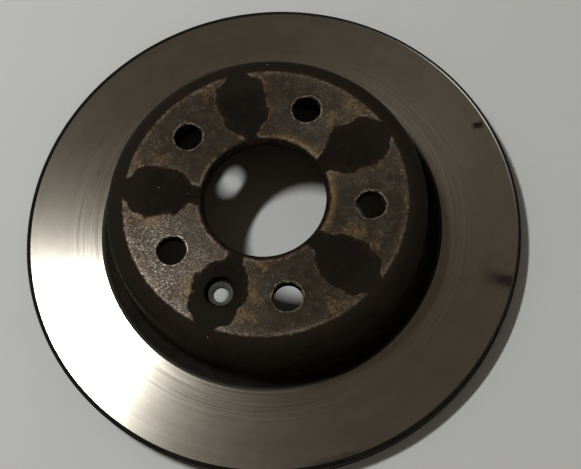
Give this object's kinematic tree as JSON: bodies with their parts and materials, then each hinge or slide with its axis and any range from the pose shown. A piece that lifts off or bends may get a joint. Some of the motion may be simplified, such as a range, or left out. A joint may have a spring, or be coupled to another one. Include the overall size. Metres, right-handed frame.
{
  "type": "solid brake disc",
  "caption": "Solid cast-iron brake disc: a flat friction ring carried by a deep hat with a centring bore, wheel bolt holes and a recessed retaining-screw hole.",
  "frame": {"origin": "centre of the inboard friction face, on the disc's axis", "axes": "+Z along the disc's axis, outboard towards the wheel; +X through one wheel bolt hole"},
  "size_m": [0.276, 0.276, 0.0476],
  "materials": {
    "cast_iron": "swept friction faces bright and finely ring-brushed, hat and edges dark brown with light rust"
  },
  "bodies": {
    "root": {"brake_disc_casting": "cast_iron"}
  },
  "joints": []
}
